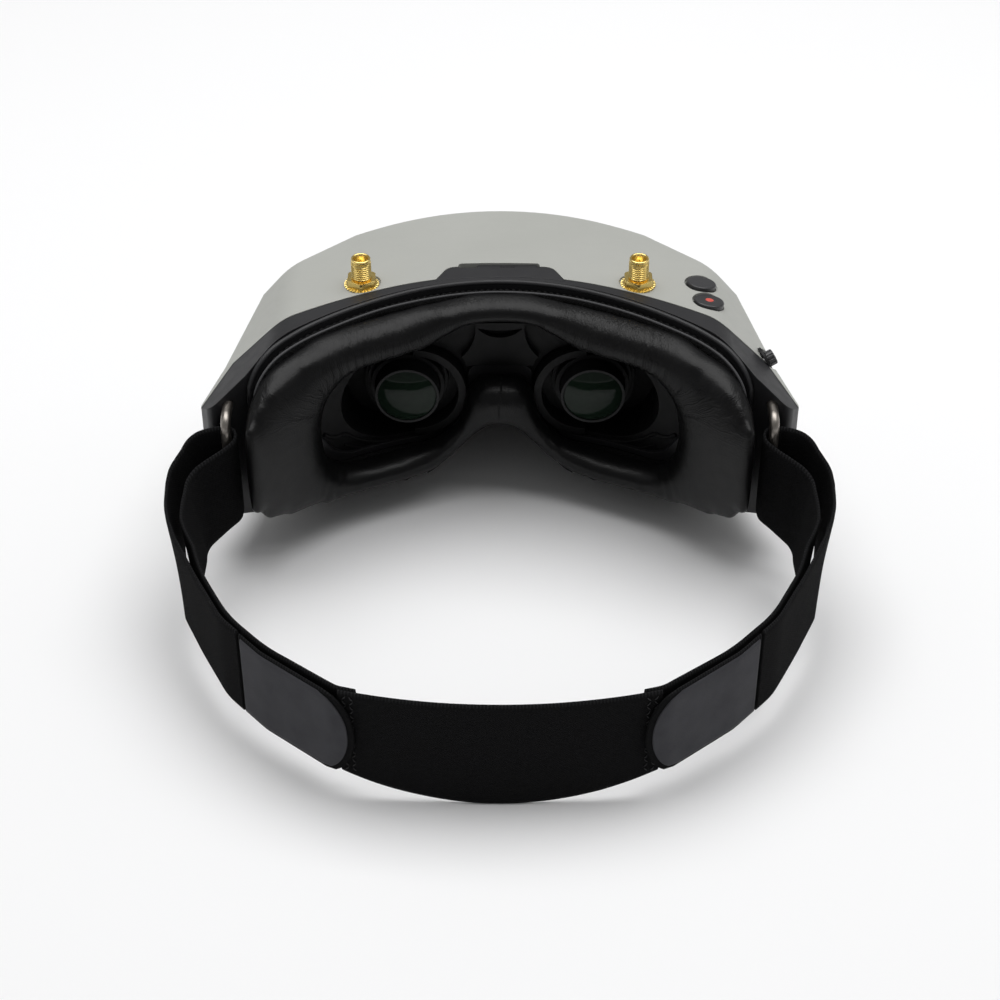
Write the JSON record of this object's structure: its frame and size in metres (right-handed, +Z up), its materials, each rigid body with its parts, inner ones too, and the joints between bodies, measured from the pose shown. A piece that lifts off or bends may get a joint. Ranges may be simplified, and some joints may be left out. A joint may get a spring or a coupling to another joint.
{
  "type": "fpv goggles",
  "caption": "Video goggles with a bowed pale shell, padded face plate, sliding eye lenses, antenna connectors, control buttons and an elastic head strap.",
  "frame": {"origin": "bottom centre of the whole part, goggles and strap loop, on the surface that it stands on", "axes": "+Z up, +Y out of the front of the goggles away from the wearer, +X to the right of the wearer"},
  "size_m": [0.1962, 0.1966, 0.084],
  "materials": {
    "pale_shell": "satin warm grey",
    "dark_shell": "satin black",
    "frame_plastic": "satin black with a fine grain",
    "black_plastic": "satin black",
    "matte_black": "matte black, finely grained",
    "button_black": "satin black",
    "hook_fabric": "ribbed hook-and-loop",
    "leatherette": "soft black leatherette with fine creases",
    "elastic": "matte black woven elastic",
    "tab_fabric": "dark grey brushed fabric",
    "wire": "dull nickel",
    "gold": "bright gold plating",
    "white_plastic": "white insulator",
    "steel": "plain steel",
    "board": "green solder mask",
    "aluminium": "anodised",
    "display": "dark display",
    "lens_glass": "coated glass"
  },
  "bodies": {
    "root": {"audio_jack": "black_plastic", "button_board": "board", "card_slot": "steel", "connector_insulators": "white_plastic", "connector_nuts": "gold", "connector_pins": "gold", "connector_washers": "gold", "cover_screws": "steel", "dc_jack": "black_plastic", "eyepiece_plate": "matte_black", "face_pad": "leatherette", "face_plate": "frame_plastic", "fan_frame": "black_plastic", "front_grille": "black_plastic", "front_housing": "pale_shell", "guide_rods": "steel", "hdmi_port": "steel", "heat_sink": "aluminium", "hook_strip": "hook_fabric", "left_antenna_connector": "gold", "left_bail": "wire", "left_port_panel": "black_plastic", "left_strap": "elastic", "left_strap_tab": "tab_fabric", "main_board": "board", "nose_arch": "black_plastic", "nose_cover": "matte_black", "rear_band": "elastic", "rear_frame": "frame_plastic", "receiver_board": "board", "right_antenna_connector": "gold", "right_bail": "wire", "right_port_panel": "black_plastic", "right_strap": "elastic", "right_strap_tab": "tab_fabric", "rod_brackets": "black_plastic", "stick_bezel": "black_plastic", "tact_switches": "black_plastic", "underside_cover": "dark_shell", "usb_port": "steel"},
    "vent": {"vent_slider": "frame_plastic"},
    "back_key": {"back_button": "button_black"},
    "record_key": {"record_button": "button_black"},
    "stick_ring": {"stick_cradle": "black_plastic"},
    "stick_post": {"stick_stem": "steel"},
    "stick_top": {"stick_cap": "button_black"},
    "left_carriage": {"left_eye_carriage": "black_plastic", "left_eye_shroud": "matte_black", "left_display": "display"},
    "right_carriage": {"right_eye_carriage": "black_plastic", "right_eye_shroud": "matte_black", "right_display": "display"},
    "left_barrel": {"left_lens_barrel": "black_plastic", "left_lens": "lens_glass"},
    "right_barrel": {"right_lens_barrel": "black_plastic", "right_lens": "lens_glass"},
    "left_knob": {"left_focus_knob": "button_black"},
    "right_knob": {"right_focus_knob": "button_black"},
    "rotor": {"fan_rotor": "black_plastic"}
  },
  "joints": [
    {"name": "vent_slide", "type": "slide", "parent": "root", "child": "vent", "axis": [-1, 0, 0], "range_m": [0, 0.0055]},
    {"name": "back_press", "type": "slide", "parent": "root", "child": "back_key", "axis": [-0.1392, -0.1549, -0.9781], "range_m": [0, 0.0006], "stiffness_N_per_m": 600, "springref_m": -0.0003},
    {"name": "record_press", "type": "slide", "parent": "root", "child": "record_key", "axis": [-0.1392, -0.1549, -0.9781], "range_m": [0, 0.0006], "stiffness_N_per_m": 600, "springref_m": -0.0003},
    {"name": "stick_tilt_across", "type": "hinge", "parent": "root", "child": "stick_ring", "pos_m": [0.07935, 0.03058, 0.05932], "axis": [-0.2756, 0.9613, 0], "range_deg": [-7, 7], "stiffness_Nm_per_rad": 0.02},
    {"name": "stick_tilt_along", "type": "hinge", "parent": "stick_ring", "child": "stick_post", "pos_m": [0.07935, 0.03058, 0.05932], "axis": [0.4062, 0.1165, -0.9063], "range_deg": [-7, 7], "stiffness_Nm_per_rad": 0.02},
    {"name": "stick_press", "type": "slide", "parent": "stick_post", "child": "stick_top", "axis": [-0.8712, -0.2498, -0.4226], "range_m": [0, 0.0004], "stiffness_N_per_m": 600, "springref_m": -0.0003},
    {"name": "left_eye_slide", "type": "slide", "parent": "root", "child": "left_carriage", "axis": [-1, 0, 0], "range_m": [0, 0.0065]},
    {"name": "left_focus_turn", "type": "hinge", "parent": "left_carriage", "child": "left_knob", "pos_m": [-0.0295, 0.06835, 0.005], "axis": [0, 0, 1], "range_deg": [-120, 120]},
    {"name": "left_focus_slide", "type": "slide", "parent": "left_carriage", "child": "left_barrel", "axis": [0, -1, 0], "range_m": [-0.002, 0.002]},
    {"name": "right_eye_slide", "type": "slide", "parent": "root", "child": "right_carriage", "axis": [1, 0, 0], "range_m": [0, 0.0065]},
    {"name": "right_focus_turn", "type": "hinge", "parent": "right_carriage", "child": "right_knob", "pos_m": [0.0295, 0.06835, 0.005], "axis": [0, 0, 1], "range_deg": [-120, 120]},
    {"name": "right_focus_slide", "type": "slide", "parent": "right_carriage", "child": "right_barrel", "axis": [0, -1, 0], "range_m": [-0.002, 0.002]},
    {"name": "fan_spin", "type": "hinge", "parent": "root", "child": "rotor", "pos_m": [0, 0.06485, 0.047], "axis": [0, 1, 0], "continuous": true}
  ],
  "couplings": [
    {"joint": "left_focus_turn", "follows": "left_focus_slide", "rad_per_m": 1047},
    {"joint": "right_focus_turn", "follows": "right_focus_slide", "rad_per_m": 1047}
  ]
}
